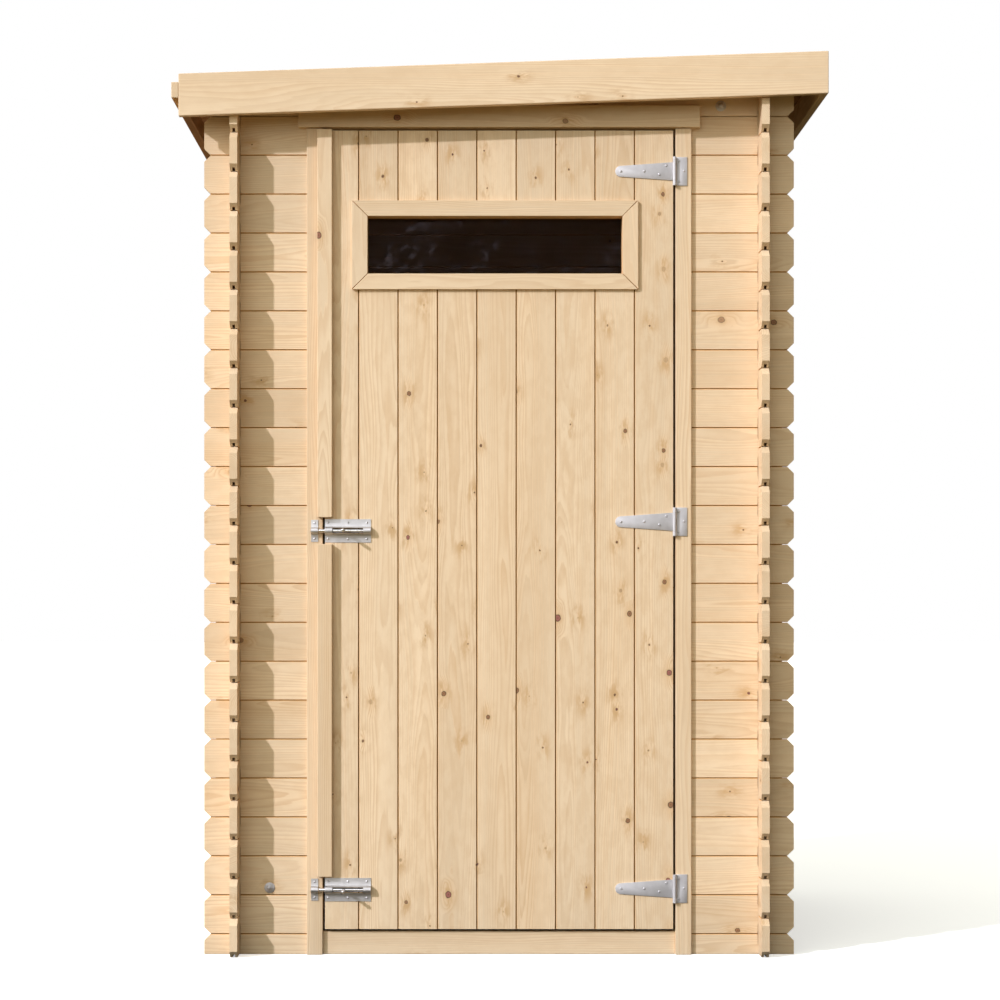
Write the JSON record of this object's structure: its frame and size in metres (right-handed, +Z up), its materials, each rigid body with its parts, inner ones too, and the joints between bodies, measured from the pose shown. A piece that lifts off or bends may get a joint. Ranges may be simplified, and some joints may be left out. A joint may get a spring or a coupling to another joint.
{
  "type": "small garden shed",
  "caption": "Small garden shed of interlocking wooden planks with a mono-pitch roof, a ledged door with a narrow window, strap hinges and barrel bolts.",
  "frame": {"origin": "centre of the overall box at ground level", "axes": "-Y is the front with the door, +X is to the right seen from the front, +Z up; the roof falls towards -X"},
  "size_m": [1.363, 1.18, 1.8843],
  "materials": {
    "spruce": "planed, untreated pale softwood with small knots",
    "zinc": "bright zinc plating, satin",
    "glass": "clear pane, dark because the inside is unlit"
  },
  "bodies": {
    "root": {"left_wall": "spruce", "right_wall": "spruce", "back_wall": "spruce", "front_wall_left": "spruce", "front_wall_right": "spruce", "front_wall_top": "spruce", "roof_deck": "spruce", "roof_purlins": "spruce", "front_fascia": "spruce", "back_fascia": "spruce", "right_fascia": "spruce", "eave_board": "spruce", "eave_batten": "spruce", "door_sill": "spruce", "door_post_left": "spruce", "door_post_right": "spruce", "door_head": "spruce", "header_board": "spruce", "hinge_plate_top": "zinc", "hinge_plate_middle": "zinc", "hinge_plate_bottom": "zinc", "bolt_keeper_upper": "zinc", "bolt_keeper_lower": "zinc"},
    "door": {"door_leaf": "spruce", "door_ledge_top": "spruce", "door_ledge_middle": "spruce", "door_ledge_bottom": "spruce", "closing_strip": "spruce", "window_trim": "spruce", "window_liner": "spruce", "window_glass": "glass", "window_bead": "spruce", "hinge_strap_top": "zinc", "hinge_strap_middle": "zinc", "hinge_strap_bottom": "zinc", "bolt_plate_upper": "zinc", "bolt_plate_lower": "zinc"},
    "upper_bolt": {"bolt_rod_upper": "zinc"},
    "lower_bolt": {"bolt_rod_lower": "zinc"}
  },
  "joints": [
    {"name": "door_hinge", "type": "hinge", "parent": "root", "child": "door", "pos_m": [0.3685, -0.5286, 0.9], "axis": [0, 0, 1], "range_deg": [0, 160]},
    {"name": "upper_bolt_slide", "type": "slide", "parent": "door", "child": "upper_bolt", "axis": [1, 0, 0], "range_m": [-0.0195, 0.037]},
    {"name": "lower_bolt_slide", "type": "slide", "parent": "door", "child": "lower_bolt", "axis": [1, 0, 0], "range_m": [-0.0195, 0.037]}
  ]
}
